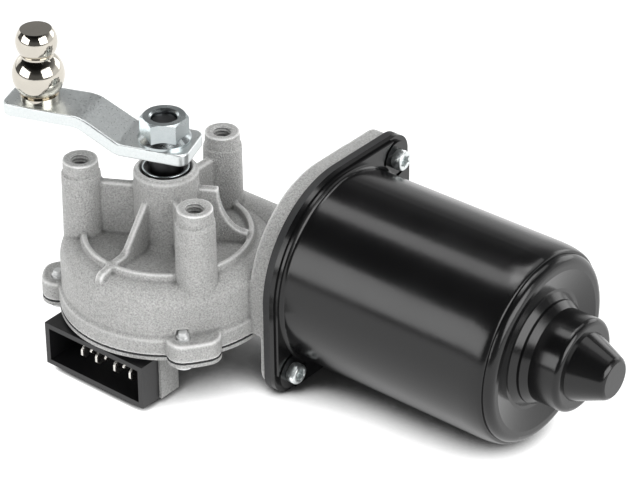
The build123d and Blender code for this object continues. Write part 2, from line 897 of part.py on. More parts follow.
def terminal_face(x, setback):
    """Side view of one blade and its leg."""
    tip_y = socket_front_y + setback
    with BuildSketch(Plane(origin=(x, 0, parting), x_dir=(0, 1, 0), z_dir=(1, 0, 0))) as side:
        with BuildLine():
            Polyline(
                (tip_y, blade_bottom + terminal_bevel),
                (tip_y + terminal_bevel, blade_bottom),
                (leg_back_y, blade_bottom),
                (leg_back_y, terminal_leg_top),
                (leg_front_y, terminal_leg_top),
                (leg_front_y, blade_top),
                (tip_y + terminal_bevel, blade_top),
                (tip_y, blade_top - terminal_bevel),
                close=True,
            )
        make_face()
    return side.sketch


with BuildPart() as connector_terminals:
    for position in terminal_positions:
        extrude(terminal_face(position, terminal_setback), amount=terminal_thickness)
        extrude(terminal_face(position + terminal_partner, partner_setback), amount=terminal_thickness)

with BuildPart() as connector_shell:
    collar = block_sketch(socket_bottom, socket_left_x, socket_right_x, socket_front_y, collar_back_y)
    extrude(collar, amount=socket_height)
    body = block_sketch(
        socket_bottom + box_wall,
        socket_left_x + box_wall,
        box_right_x - box_wall,
        collar_back_y,
        plug_back_y,
    )
    extrude(body, amount=socket_height - box_wall)
    plug = block_sketch(socket_top, plug_left_x, plug_right_x, plug_front_y, plug_back_y)
    extrude(plug, amount=plug_height - socket_top)
    cavity = block_sketch(
        socket_bottom + socket_wall,
        socket_left_x + socket_wall,
        socket_right_x - socket_wall,
        socket_front_y,
        socket_front_y + socket_cavity_depth,
    )
    extrude(cavity, amount=socket_height - 2 * socket_wall, mode=Mode.SUBTRACT)
    add(connector_terminals.part, mode=Mode.SUBTRACT)

# Contact plate of the park switch and its three sliding springs
plate_top = cover_top + contact_plate_thickness
with BuildPart() as contact_plate:
    with BuildSketch(level(cover_top)):
        Circle(contact_plate_radius)
        Circle(contact_plate_bore, mode=Mode.SUBTRACT)
        with Locations((0, plug_back_y)):
            Rectangle(
                2 * contact_plate_radius,
                2 * contact_plate_radius,
                align=(Align.CENTER, Align.MAX),
                mode=Mode.SUBTRACT,
            )
    extrude(amount=contact_plate_thickness)

contact_top = wheel_bottom - slip_ring_thickness - contact_gap
with BuildPart() as contact_springs:
    for radius in contact_radii:
        with BuildSketch(Plane(origin=(0, radius, parting), x_dir=(1, 0, 0), z_dir=(0, -1, 0))):
            with BuildLine():
                Polyline(
                    (-contact_reach, plate_top),
                    (contact_foot - contact_reach, plate_top),
                    (0, contact_top - contact_sheet),
                    (contact_sheet, contact_top - contact_sheet),
                    (2 * contact_sheet, contact_top - 3 * contact_sheet),
                    (3 * contact_sheet, contact_top - 3 * contact_sheet),
                    (1.5 * contact_sheet, contact_top),
                    (-contact_sheet / 2, contact_top),
                    (contact_foot - contact_reach - contact_sheet / 2, plate_top + contact_sheet),
                    (-contact_reach, plate_top + contact_sheet),
                    close=True,
                )
            make_face()
        extrude(amount=contact_width / 2, both=True)

# Can, drawn from sheet with its bearing cup and nose
can_end_x = can_face_x + can_length
cup_face_x = can_end_x + cup_length
nose_end_x = cup_face_x + nose_length
can_bore = can_radius - can_wall
screw_seat_x = can_face_x + flange_field_height


def can_outside():
    """Outer profile from the flange round to the axis at the nose."""
    groove_x = can_end_x - can_end_corner
    shoulder_x = groove_x - can_shoulder_length
    shoulder_foot = can_radius - can_shoulder_drop
    flange_fillet = (screw_seat_x + can_root_fillet, can_radius + can_root_fillet)
    Polyline((flange_x, 0), (flange_x, flange_fillet[1]), (screw_seat_x, flange_fillet[1]))
    CenterArc(flange_fillet, can_root_fillet, 180, 90)
    Line((flange_fillet[0], can_radius), (shoulder_x, can_radius))
    EllipticalCenterArc(
        (shoulder_x, shoulder_foot),
        can_shoulder_length,
        can_shoulder_drop,
        start_angle=0,
        arc_size=90,
    )
    Line((groove_x, shoulder_foot), (groove_x, can_end_radius))
    CenterArc((groove_x, can_end_radius - can_end_corner), can_end_corner, 90, -90)
    ring_in = can_end_radius - can_end_corner - can_end_flat
    Polyline(
        (can_end_x, can_end_radius - can_end_corner),
        (can_end_x, ring_in),
        (can_end_x - can_dish_depth, can_dish_radius),
        (can_end_x - can_dish_depth, collar_radius + can_dish_depth),
        (can_end_x, collar_radius),
        (can_end_x + collar_height, collar_radius),
        (can_end_x + cup_root, cup_radius),
        (cup_face_x - cup_corner, cup_radius),
    )
    CenterArc((cup_face_x - cup_corner, cup_radius - cup_corner), cup_corner, 90, -90)
    Polyline(
        (cup_face_x, cup_radius - cup_corner),
        (cup_face_x, nose_base_radius),
        (nose_end_x - nose_rounding, nose_tip_radius),
    )
    TangentArc(
        (nose_end_x - nose_rounding, nose_tip_radius),
        (nose_end_x, nose_tip_radius - nose_rounding),
        tangent=(nose_length - nose_rounding, nose_tip_radius - nose_base_radius),
    )
    Polyline((nose_end_x, nose_tip_radius - nose_rounding), (nose_end_x, 0), (flange_x, 0))


with BuildPart() as motor_can:
    with BuildSketch(lengthwise):
        with BuildLine():
            can_outside()
        make_face()
    revolve(axis=armature_axis)
    extrude(flange_face(flange_x, flange_radius, flange_ear_radius), amount=can_flange_thickness)
    # Raised field of the flange, with a groove round each screw's pad
    field = flange_face(can_face_x, flange_radius - flange_margin, flange_ear_radius - flange_margin)
    extrude(field, amount=flange_field_height)
    with BuildSketch(across(can_face_x)):
        with PolarLocations(flange_ear_distance, 2, flange_ear_angle):
            Circle(screw_pad_radius + screw_pad_groove)
            Circle(screw_pad_radius, mode=Mode.SUBTRACT)
        Circle(can_radius + can_root_fillet, mode=Mode.SUBTRACT)
    extrude(amount=flange_field_height, mode=Mode.SUBTRACT)
    with BuildSketch(lengthwise):
        with BuildLine():
            Polyline(
                (flange_x, 0),
                (flange_x, can_bore),
                (can_end_x - can_end_corner - can_wall, can_bore),
                (can_end_x - can_dish_depth - can_wall, can_end_radius - can_end_corner),
                (can_end_x - can_dish_depth - can_wall, cup_radius - can_wall),
                (cup_face_x - can_wall, cup_radius - can_wall),
                (cup_face_x - can_wall, nose_base_radius - can_wall),
                (nose_end_x - can_wall, nose_tip_radius - can_wall - nose_rounding / 2),
                (nose_end_x - can_wall, 0),
                close=True,
            )
        make_face()
    revolve(axis=armature_axis, mode=Mode.SUBTRACT)
    with BuildSketch(across(flange_x)):
        with PolarLocations(flange_ear_distance, 2, flange_ear_angle):
            Circle(can_screw_radius + screw_hole_clearance)
    extrude(amount=screw_seat_x - flange_x, mode=Mode.SUBTRACT)

with BuildPart() as can_gasket:
    extrude(flange_face(bracket_face_x, flange_radius, flange_ear_radius), amount=can_gasket_thickness)
    with BuildSketch(across(bracket_face_x)):
        Circle(can_bore)
        with PolarLocations(flange_ear_distance, 2, flange_ear_angle):
            Circle(can_screw_radius + screw_hole_clearance)
    extrude(amount=can_gasket_thickness, mode=Mode.SUBTRACT)

with BuildPart() as can_screws:
    with BuildSketch(across(screw_seat_x)):
        with PolarLocations(flange_ear_distance, 2, flange_ear_angle):
            Circle(can_screw_head_radius)
    extrude(amount=can_screw_head_height)
    fillet(can_screws.edges().group_by(Axis.X)[-1], can_screw_head_height / 8)
    with BuildSketch(across(screw_seat_x)):
        with PolarLocations(flange_ear_distance, 2, flange_ear_angle):
            Circle(can_screw_radius)
    extrude(amount=-can_screw_length)
    with BuildSketch(across(screw_seat_x + can_screw_head_height)):
        with PolarLocations(flange_ear_distance, 2, flange_ear_angle):
            RegularPolygon(can_screw_socket_radius, 6)
    extrude(amount=-can_screw_head_height / 2, mode=Mode.SUBTRACT)

# Magnets glued to the can, with a gap between them at top and bottom
magnet_inner = can_bore - magnet_thickness
magnet_gap = 2 * can_bore * cos(radians(magnet_arc / 2))
with BuildPart() as magnets:
    with BuildSketch(across(magnet_start_x)):
        Circle(can_bore)
        Circle(magnet_inner, mode=Mode.SUBTRACT)
        Rectangle(magnet_gap, 3 * can_bore, mode=Mode.SUBTRACT)
    extrude(amount=magnet_length)

# Armature: shaft with its worm, slotted core, windings and commutator
core_radius = magnet_inner - air_gap
rear_bush_start = can_end_x
rear_shaft_end = cup_face_x - can_wall - shaft_end_play
worm_length = worm_turns * pitch
worm_start_x = -worm_length / 2 + pitch / 4     # sets a gap of the thread against the wheel's tooth
shaft_tip_x = tunnel_bore_start + thrust_pad_thickness + thrust_play
worm_shoulder_x = worm_start_x + worm_length + pitch
with BuildPart() as armature_shaft:
    with BuildSketch(lengthwise):
        with BuildLine():
            Polyline(
                (shaft_tip_x, 0),
                (shaft_tip_x, journal_radius / 2),
                (shaft_tip_x + journal_radius / 2, journal_radius),
                (worm_start_x - pitch, journal_radius),
                (worm_start_x, worm_root_radius),
                (worm_start_x + worm_length, worm_root_radius),
                (worm_shoulder_x, armature_shaft_radius),
                (rear_shaft_end, armature_shaft_radius),
                (rear_shaft_end, 0),
                close=True,
            )
        make_face()
    revolve(axis=armature_axis)
    # Thread
    worm_start = Vector(worm_start_x, armature_offset, axis_z)
    with BuildLine() as worm_path:
        Helix(pitch, worm_length, worm_pitch_radius, center=worm_start, direction=(1, 0, 0))
    thread_start = worm_path.line @ 0
    thread_plane = Plane(origin=thread_start, x_dir=thread_start - worm_start, z_dir=worm_path.line % 0)
    thread_root = worm_root_radius - worm_pitch_radius - thread_sink
    thread_crest = worm_tip_radius - worm_pitch_radius
    with BuildSketch(thread_plane):
        with BuildLine():
            Polyline(
                (thread_root, -worm_thread_thickness / 2 + thread_root * flank_slope),
                (thread_crest, -worm_thread_thickness / 2 + thread_crest * flank_slope),
                (thread_crest, worm_thread_thickness / 2 - thread_crest * flank_slope),
                (thread_root, worm_thread_thickness / 2 - thread_root * flank_slope),
                close=True,
            )
        make_face()
    sweep(path=worm_path.line, is_frenet=True)


def slot_sketch(x):
    """All the winding slots of the core, without their narrow mouths."""
    slot_middle = core_radius - tooth_tip - slot_depth / 2
    with BuildSketch(across(x)) as slots:
        with PolarLocations(slot_middle, slot_count):
            Rectangle(slot_depth, slot_width)
    return slots.sketch


with BuildPart() as armature_core:
    with BuildSketch(across(core_start_x)):
        Circle(core_radius)
        Circle(armature_shaft_radius, mode=Mode.SUBTRACT)
        with PolarLocations(core_radius - tooth_tip / 2, slot_count):
            Rectangle(2 * tooth_tip, slot_mouth, mode=Mode.SUBTRACT)
    extrude(amount=core_length)
    extrude(slot_sketch(core_start_x), amount=core_length, mode=Mode.SUBTRACT)

winding_outer = core_radius - tooth_tip
winding_inner = winding_outer - slot_depth
winding_corner = slot_width
with BuildPart() as armature_windings:
    extrude(slot_sketch(core_start_x), amount=core_length)
    for start, direction in ((core_start_x, -1), (core_start_x + core_length, 1)):
        with BuildSketch(lengthwise):
            with BuildLine():
                Polyline(
                    (start, winding_inner),
                    (start, winding_outer),
                    (start + direction * (winding_overhang - winding_corner), winding_outer),
                    (start + direction * winding_overhang, winding_outer - winding_corner),
                    (start + direction * winding_overhang, winding_inner),
                    close=True,
                )
            make_face()
        revolve(axis=armature_axis)

with BuildPart() as commutator:
    with BuildSketch(across(commutator_start_x)):
        Circle(commutator_radius)
        Circle(armature_shaft_radius, mode=Mode.SUBTRACT)
        with PolarLocations(commutator_radius - commutator_slit_depth / 2, commutator_bars):
            Rectangle(2 * commutator_slit_depth, commutator_slit, mode=Mode.SUBTRACT)
    extrude(amount=commutator_length)
    with BuildSketch(across(commutator_start_x + commutator_length)):
        Circle(riser_radius)
        Circle(armature_shaft_radius, mode=Mode.SUBTRACT)
    extrude(amount=-riser_length)

# Brush plate, holders, brushes and their springs
plate_x = bracket_face_x + spigot_length
plate_face_x = plate_x + brush_plate_thickness
with BuildPart() as brush_plate:
    with BuildSketch(across(plate_x)):
        Circle(can_bore - brush_plate_clearance)
        Circle(brush_plate_bore, mode=Mode.SUBTRACT)
    extrude(amount=brush_plate_thickness)

brush_start_x = plate_face_x + holder_foot + holder_fit
brush_inner = commutator_radius + brush_gap
holder_inner = commutator_radius + holder_setback
with BuildPart() as brushes:
    with BuildSketch(across(brush_start_x)):
        for angle in brush_angles:
            with PolarLocations(commutator_radius, 1, angle):
                Rectangle(brush_height, brush_width, align=outward)
        Circle(brush_inner, mode=Mode.SUBTRACT)
    extrude(amount=brush_length)

with BuildPart() as brush_holders:
    outer_width = brush_width + 2 * (holder_fit + holder_wall)
    for angle in brush_angles:
        with BuildSketch(across(plate_face_x)):
            with PolarLocations(holder_inner, 1, angle):
                Rectangle(holder_length, outer_width, align=outward)
        extrude(amount=holder_foot + brush_length + 2 * holder_fit + holder_wall)
    for angle in brush_angles:
        with BuildSketch(across(plate_face_x + holder_foot)):
            with PolarLocations(holder_inner, 1, angle):
                Rectangle(holder_length, brush_width + 2 * holder_fit, align=outward)
        extrude(amount=brush_length + 2 * holder_fit, mode=Mode.SUBTRACT)

with BuildPart() as brush_springs:
    for angle in brush_angles:
        with BuildSketch(across(plate_face_x + holder_foot)):
            with PolarLocations(commutator_radius + brush_height, 1, angle):
                Rectangle(spring_sheet, spring_width, align=outward)
        extrude(amount=brush_length * 3 / 4)

# Bushes and thrust screw of the armature
middle_bush = turned_lengthwise(
    (middle_bush_start, armature_shaft_radius + running_clearance),
    (middle_bush_start, middle_bush_radius),
    (middle_bush_start + middle_bush_length, middle_bush_radius),
    (middle_bush_start + middle_bush_length, armature_shaft_radius + running_clearance),
)
front_bush_seat = tunnel_bore_start + thrust_pad_thickness
front_bush = turned_lengthwise(
    (front_bush_seat, journal_radius + running_clearance),
    (front_bush_seat, tunnel_bore_radius),
    (front_bush_seat + front_bush_length, tunnel_bore_radius),
    (front_bush_seat + front_bush_length, journal_radius + running_clearance),
)
cup_bore = cup_radius - can_wall
rear_bush = turned_lengthwise(
    (rear_bush_start, armature_shaft_radius + running_clearance),
    (rear_bush_start, rear_bush_radius),
    (rear_bush_start + rear_bush_length, rear_bush_radius),
    (rear_bush_start + rear_bush_length, armature_shaft_radius + running_clearance),
)
bush_retainer = turned_lengthwise(
    (rear_bush_start + retainer_setback, rear_bush_radius),
    (rear_bush_start + retainer_setback, cup_bore),
    (rear_bush_start + retainer_setback + retainer_thickness, cup_bore),
    (rear_bush_start + retainer_setback + retainer_thickness, rear_bush_radius),
)
thrust_pad = turned_lengthwise(
    (tunnel_bore_start, 0),
    (tunnel_bore_start, thrust_screw_radius),
    (tunnel_bore_start + thrust_pad_thickness, thrust_screw_radius),
    (tunnel_bore_start + thrust_pad_thickness, 0),
)
thrust_screw = turned_lengthwise(
    (tunnel_end_x - locknut_height - thrust_screw_reach, 0),
    (tunnel_end_x - locknut_height - thrust_screw_reach, thrust_screw_radius),
    (tunnel_bore_start, thrust_screw_radius),
    (tunnel_bore_start, 0),
)
with BuildPart() as thrust_locknut:
    with BuildSketch(across(tunnel_end_x)):
        RegularPolygon(locknut_across_flats / 2, 6, major_radius=False)
        Circle(thrust_screw_radius, mode=Mode.SUBTRACT)
    extrude(amount=-locknut_height)

pieces = {
    "gear_housing": gear_housing,
    "gear_cover": gear_cover,
    "cover_gasket": cover_gasket,
    "cover_screws": cover_screws,
    "connector_shell": connector_shell,
    "connector_terminals": connector_terminals,
    "contact_plate": contact_plate,
    "contact_springs": contact_springs,
    "lower_bush": lower_bush,
    "upper_bush": upper_bush,
    "seal_case": seal_case,
    "shaft_seal": shaft_seal,
    "thrust_washer": thrust_washer,
    "output_shaft": output_shaft,
    "worm_wheel": worm_wheel,
    "wheel_hub": wheel_hub,
    "slip_ring": slip_ring,
    "crank_arm": crank_arm,
    "crank_nut": crank_nut,
    "ball_stud": ball_stud,
    "motor_can": motor_can,
    "can_gasket": can_gasket,
    "can_screws": can_screws,
    "magnets": magnets,
    "armature_shaft": armature_shaft,
    "armature_core": armature_core,
    "armature_windings": armature_windings,
    "commutator": commutator,
    "brush_plate": brush_plate,
    "brush_holders": brush_holders,
    "brushes": brushes,
    "brush_springs": brush_springs,
    "front_bush": front_bush,
    "middle_bush": middle_bush,
    "rear_bush": rear_bush,
    "bush_retainer": bush_retainer,
    "thrust_pad": thrust_pad,
    "thrust_screw": thrust_screw,
    "thrust_locknut": thrust_locknut,
}
os.makedirs("parts", exist_ok=True)
for name, piece in pieces.items():
    piece.part.label = name
    export_step(piece.part, f"parts/{name}.step")
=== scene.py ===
import json
import math

import bmesh
import bpy
import numpy as np
from mathutils import Matrix, Vector


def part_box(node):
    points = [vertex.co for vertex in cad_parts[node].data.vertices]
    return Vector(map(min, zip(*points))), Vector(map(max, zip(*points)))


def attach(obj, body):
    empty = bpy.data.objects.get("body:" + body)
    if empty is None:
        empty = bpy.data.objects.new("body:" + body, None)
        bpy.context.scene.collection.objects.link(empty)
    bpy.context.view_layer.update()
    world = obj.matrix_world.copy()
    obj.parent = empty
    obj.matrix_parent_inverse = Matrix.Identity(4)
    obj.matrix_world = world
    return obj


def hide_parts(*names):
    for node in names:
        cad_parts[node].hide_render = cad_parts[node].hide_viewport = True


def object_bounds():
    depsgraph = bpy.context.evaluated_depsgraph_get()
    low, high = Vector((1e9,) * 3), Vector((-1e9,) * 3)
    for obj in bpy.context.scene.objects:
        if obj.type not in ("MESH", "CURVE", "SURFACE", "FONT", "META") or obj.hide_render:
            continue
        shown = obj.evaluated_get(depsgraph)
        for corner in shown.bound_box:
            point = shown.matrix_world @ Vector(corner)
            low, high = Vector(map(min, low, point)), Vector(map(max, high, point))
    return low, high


# Electric wiper motor. The frame's own solids carry its form; this script gives them their
# finishes, adds threads and small parts, and sets the light and the camera.
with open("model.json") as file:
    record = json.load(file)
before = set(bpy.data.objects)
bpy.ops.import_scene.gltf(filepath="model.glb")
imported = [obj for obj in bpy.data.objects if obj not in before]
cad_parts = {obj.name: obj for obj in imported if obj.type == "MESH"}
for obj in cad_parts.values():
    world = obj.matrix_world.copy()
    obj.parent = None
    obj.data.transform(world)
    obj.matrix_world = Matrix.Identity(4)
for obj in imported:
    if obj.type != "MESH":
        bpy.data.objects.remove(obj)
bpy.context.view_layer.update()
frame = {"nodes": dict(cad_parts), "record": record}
nodes = frame["nodes"]

MM = 0.001
# Slack in millimetres where vertices are picked by their place
SLACK = 0.01
# Edges sharper than this get a bevel
EDGE_ANGLE = math.radians(35)
# Sockets of a Mix node that blends colours
MIX_FACTOR, MIX_FIRST, MIX_SECOND, MIX_RESULT = 0, 6, 7, 2


# Node helpers

def new_material(name):
    material = bpy.data.materials.new(name)
    material.use_nodes = True
    shader = material.node_tree.nodes["Principled BSDF"]
    return material, material.node_tree, shader


def noise(tree, scale, detail=3.0, roughness=0.55, stretch=None):
    """Noise in object coordinates, its scale in features per metre, stretched by axis if asked."""
    coords = tree.nodes.new("ShaderNodeTexCoord")
    source = coords.outputs["Object"]
    if stretch:
        mapping = tree.nodes.new("ShaderNodeMapping")
        mapping.inputs["Scale"].default_value = stretch
        tree.links.new(source, mapping.inputs["Vector"])
        source = mapping.outputs["Vector"]
    texture = tree.nodes.new("ShaderNodeTexNoise")
    texture.inputs["Scale"].default_value = scale
    texture.inputs["Detail"].default_value = detail
    texture.inputs["Roughness"].default_value = roughness
    tree.links.new(source, texture.inputs["Vector"])
    return texture.outputs["Fac"]


def ramp(tree, source, low, high, low_at=0.3, high_at=0.7):
    """Maps a factor to a value between low and high, which it reaches at low_at and high_at."""
    node = tree.nodes.new("ShaderNodeMapRange")
    node.inputs["From Min"].default_value = low_at
    node.inputs["From Max"].default_value = high_at
    node.inputs["To Min"].default_value = low
    node.inputs["To Max"].default_value = high
    tree.links.new(source, node.inputs["Value"])
    return node.outputs["Result"]


def blend_colours(tree, factor, first, second):
    node = tree.nodes.new("ShaderNodeMix")
    node.data_type = "RGBA"
    node.inputs[MIX_FIRST].default_value = (*first, 1)
    node.inputs[MIX_SECOND].default_value = (*second, 1)
    tree.links.new(factor, node.inputs[MIX_FACTOR])
    return node.outputs[MIX_RESULT]


def tint(tree, factor, base, colour):
    """Blends a linked colour into a plain one as the factor grows."""
    blend = blend_colours(tree, factor, (0, 0, 0), colour)
    tree.links.new(base, blend.node.inputs[MIX_FIRST])
    return blend


def bump(tree, shader, layers):
    """Stacks bumps, each with a height source and a depth in metres."""
    normal = None
    for source, depth in layers:
        node = tree.nodes.new("ShaderNodeBump")
        node.inputs["Strength"].default_value = 1.0
        node.inputs["Distance"].default_value = depth
        tree.links.new(source, node.inputs["Height"])
        if normal:
            tree.links.new(normal, node.inputs["Normal"])
        normal = node.outputs["Normal"]
    tree.links.new(normal, shader.inputs["Normal"])


# Materials

def cast_aluminium(name, painted_edge_light):
    """Blasted die casting; a mesh with stored bends also gets painted highlights on its edges and
    painted shade in its creases.
    """
    material, tree, shader = new_material(name)
    grain = noise(tree, scale=1900, roughness=0.75)
    blotch = noise(tree, scale=90)
    colour = blend_colours(tree, ramp(tree, grain, 0, 1), (0.265, 0.265, 0.26), (0.63, 0.63, 0.62))
    if painted_edge_light:
        bend = tree.nodes.new("ShaderNodeAttribute")
        bend.attribute_name = "bend"
        # Painted highlight: edges are tinted lighter, as if they caught the light
        painted_edge_highlight = ramp(tree, bend.outputs["Fac"], 0, 1, low_at=0.08, high_at=0.8)
        colour = tint(tree, painted_edge_highlight, colour, (0.92, 0.92, 0.91))
        # Painted shade: creases are tinted darker, as if shade fell in them
        painted_crease_shade = ramp(tree, bend.outputs["Fac"], 1, 0, low_at=-0.8, high_at=-0.08)
        colour = tint(tree, painted_crease_shade, colour, (0.2, 0.2, 0.195))
    tree.links.new(colour, shader.inputs["Base Color"])
    tree.links.new(ramp(tree, blotch, 0.38, 0.5), shader.inputs["Roughness"])
    shader.inputs["Metallic"].default_value = 0.45
    bump(tree, shader, [(blotch, 0.0001), (grain, 0.0007)])
    return material


def black_paint():
    material, tree, shader = new_material("black_can_paint")
    shader.inputs["Base Color"].default_value = (0.004, 0.004, 0.0042, 1)
    cloud = noise(tree, scale=60)
    tree.links.new(ramp(tree, cloud, 0.17, 0.22), shader.inputs["Roughness"])
    shader.inputs["Specular IOR Level"].default_value = 0.44
    bump(tree, shader, [(noise(tree, scale=500, detail=2), 0.000012)])
    return material


def rubber(name, colour, roughness, spread=0.06):
    material, tree, shader = new_material(name)
    shader.inputs["Base Color"].default_value = (*colour, 1)
    dullness = ramp(tree, noise(tree, scale=700), roughness - spread, roughness + spread)
    tree.links.new(dullness, shader.inputs["Roughness"])
    bump(tree, shader, [(noise(tree, scale=1400), 0.00003)])
    return material


def metal(name, colour, second, roughness, grain=1200, depth=0.00001, stretch=None, metallic=1.0):
    """Metal that wavers between two colours in clouds eight times as wide as its grain."""
    material, tree, shader = new_material(name)
    cloud = noise(tree, scale=grain / 8, roughness=0.6, stretch=stretch)
    base = blend_colours(tree, ramp(tree, cloud, 0, 1), colour, second)
    tree.links.new(base, shader.inputs["Base Color"])
    dullness = ramp(tree, cloud, roughness * 0.8, roughness * 1.25)
    tree.links.new(dullness, shader.inputs["Roughness"])
    shader.inputs["Metallic"].default_value = metallic
    bump(tree, shader, [(noise(tree, scale=grain, roughness=0.6, stretch=stretch), depth)])
    return material


def plastic(name, colour, roughness, spread=0.05):
    material, tree, shader = new_material(name)
    shader.inputs["Base Color"].default_value = (*colour, 1)
    grain = noise(tree, scale=2200, detail=2)
    dullness = ramp(tree, grain, roughness - spread, roughness + spread)
    tree.links.new(dullness, shader.inputs["Roughness"])
    bump(tree, shader, [(grain, 0.00002)])
    return material


looks = {
    "cast_aluminium": cast_aluminium("cast_aluminium_skin", painted_edge_light=False),
    "cast_painted_edges": cast_aluminium("cast_aluminium_painted_edges", painted_edge_light=True),
    "black_steel": black_paint(),
    "gasket_rubber": rubber("gasket_rubber_skin", (0.012, 0.012, 0.013), 0.55),
    "seal_rubber": rubber("seal_rubber_skin", (0.01, 0.01, 0.01), 0.4),
    "zinc_steel": metal("zinc_bright", (0.44, 0.48, 0.49), (0.52, 0.56, 0.57), 0.24),
    "zinc_dull": metal(
        "zinc_dull", (0.62, 0.63, 0.63), (0.72, 0.73, 0.73), 0.42, depth=0.00002, metallic=0.6
    ),
    "crank_steel": metal(
        "zinc_satin", (0.66, 0.7, 0.7), (0.75, 0.78, 0.78), 0.33, grain=14000, depth=0.000002
    ),
    "bearing_steel": metal("steel_ground", (0.5, 0.5, 0.5), (0.6, 0.6, 0.6), 0.3),
    # Painted shade: the output shaft is coloured near black for the crank's shadow over it
    "shaft_painted_shade": metal("steel_painted_shade", (0.025, 0.025, 0.027), (0.05, 0.05, 0.052), 0.35),
    "nickel_steel": metal(
        "nickel_polished", (0.56, 0.53, 0.47), (0.6, 0.565, 0.5), 0.08, depth=0.000003
    ),
    "connector_plastic": plastic("black_connector_plastic", (0.006, 0.006, 0.0065), 0.38),
    "tinned_brass": metal("tin_plate", (0.70, 0.68, 0.64), (0.78, 0.76, 0.72), 0.28),
    "sintered_bronze": metal("bronze_sintered", (0.42, 0.27, 0.13), (0.52, 0.36, 0.2), 0.5),
    "spring_bronze": metal("bronze_sheet", (0.6, 0.38, 0.2), (0.68, 0.45, 0.26), 0.3),
    "ring_brass": metal("brass_sheet", (0.7, 0.5, 0.22), (0.78, 0.58, 0.3), 0.3),
    "copper": metal("copper_turned", (0.66, 0.32, 0.18), (0.74, 0.4, 0.26), 0.3),
    "copper_wire": metal("copper_enamelled", (0.42, 0.14, 0.05), (0.55, 0.22, 0.1), 0.35),
    "gear_plastic": plastic("acetal_moulded", (0.78, 0.75, 0.66), 0.4),
    "laminate": plastic("phenolic_sheet", (0.2, 0.1, 0.045), 0.5),
    "core_steel": metal(
        "laminated_steel", (0.2, 0.2, 0.21), (0.28, 0.28, 0.29), 0.4, stretch=(8, 1, 1)
    ),
    "ferrite": plastic("ferrite_ground", (0.04, 0.04, 0.045), 0.5),
    "carbon": plastic("carbon_pressed", (0.02, 0.02, 0.02), 0.5),
    "pad_plastic": plastic("nylon_moulded", (0.7, 0.68, 0.6), 0.4),
}
slots = {s["node"]: s["material_slot"] for s in frame["record"]["subparts"]}
# Two nodes look otherwise than their slot: rubber covers the seal's case, and the shaft is coloured
# near black, a painted shade for the crank's shadow over it
looks_apart = {"seal_case": "seal_rubber", "output_shaft": "shaft_painted_shade"}
for name, node in nodes.items():
    node.data.materials.clear()
    node.data.materials.append(looks[looks_apart.get(name, slots[name])])


# Mesh helpers

def new_object(name, data):
    item = bpy.data.objects.new(name, data)
    bpy.context.scene.collection.objects.link(item)
    return item


def new_piece(name, mesh, body, slot, stands_for=(), look=None):
    """Adds a mesh as a piece of one body, with its slot's finish or another look, for nodes."""
    piece = new_object(name, mesh)
    mesh.materials.clear()
    mesh.materials.append(looks[look or slot])
    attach(piece, body)
    if stands_for:
        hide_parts(*stands_for)
    return piece


def shade_smooth(mesh, sharp_angle=None):
    """Smooths a mesh, except at edges sharper than an angle in degrees."""
    for polygon in mesh.polygons:
        polygon.use_smooth = True
    if sharp_angle:
        mesh.set_sharp_from_angle(angle=math.radians(sharp_angle))


def store_bend(mesh):
    """Stores how far each vertex lies on a bend, in 1/mm: plus on edges, minus in creases."""
    count = len(mesh.vertices)
    places = np.empty(count * 3)
    normals = np.empty(count * 3)
    ends = np.empty(len(mesh.edges) * 2, np.int32)
    mesh.vertices.foreach_get("co", places)
    mesh.vertices.foreach_get("normal", normals)
    mesh.edges.foreach_get("vertices", ends)
    places = places.reshape(-1, 3)
    normals = normals.reshape(-1, 3)
    first, second = ends[0::2], ends[1::2]

    def gathered(at_first, at_second):
        return np.bincount(first, at_first, count) + np.bincount(second, at_second, count)

    steps = (places[first] - places[second]) / MM
    turns = normals[first] - normals[second]
    sums = []
    for share in ((turns * steps).sum(axis=1), (steps * steps).sum(axis=1)):
        total = gathered(share, share)
        sums.append(total + gathered(total[second], total[first]))
    bend = mesh.attributes.new("bend", "FLOAT", "POINT")
    bend.data.foreach_set("value", (sums[0] / np.maximum(sums[1], 1e-6)).astype(np.float32))


def set_all(modifier, settings):
    for setting, value in settings.items():
        setattr(modifier, setting, value)


def applied(mesh, steps):
    """The mesh once a list of modifiers, each a type and its settings, has been applied to it."""
    holder = new_object("holder", mesh)
    for number, (kind, settings) in enumerate(steps):
        set_all(holder.modifiers.new(f"step{number}", kind), settings)
    graph = bpy.context.evaluated_depsgraph_get()
    result = bpy.data.meshes.new_from_object(holder.evaluated_get(graph))
    bpy.data.objects.remove(holder)
    return result


def boolean(operation, tool):
    return ("BOOLEAN", {"operation": operation, "solver": "MANIFOLD", "object": tool})


def softened(voxel, passes):
    """Steps that round every edge: a remesh in voxels of a size in metres, then smoothing."""
    return [
        ("REMESH", {"mode": "VOXEL", "voxel_size": voxel, "adaptivity": 0.0}),
        ("SMOOTH", {"factor": 0.5, "iterations": passes}),
    ]


def bevel(width, segments):
    """Settings of a bevel along sharp edges, its width in millimetres."""
    return {
        "width": width * MM,
        "segments": segments,
        "limit_method": "ANGLE",
        "angle_limit": EDGE_ANGLE,
    }


def node_form(name):
    """A welded copy of a CAD node's mesh, ready to edit."""
    form = bmesh.new()
    form.from_mesh(nodes[name].data)
    bmesh.ops.remove_doubles(form, verts=form.verts, dist=1e-7)
    return form


def plain_mesh(form, name):
    mesh = bpy.data.meshes.new(name)
    form.to_mesh(mesh)
    form.free()
    return mesh


def finished(form, name, smooth_angle=40):
    """Mesh from the form, with its normals outwards, smooth up to an angle."""
    bmesh.ops.recalc_face_normals(form, faces=form.faces)
    mesh = plain_mesh(form, name)
    shade_smooth(mesh, smooth_angle)
    return mesh


def join_loops(form, lower, upper):
    """Skins the band between two closed loops of vertices."""
    for i in range(len(lower)):
        j = (i + 1) % len(lower)
        form.faces.new((lower[i], lower[j], upper[j], upper[i]))


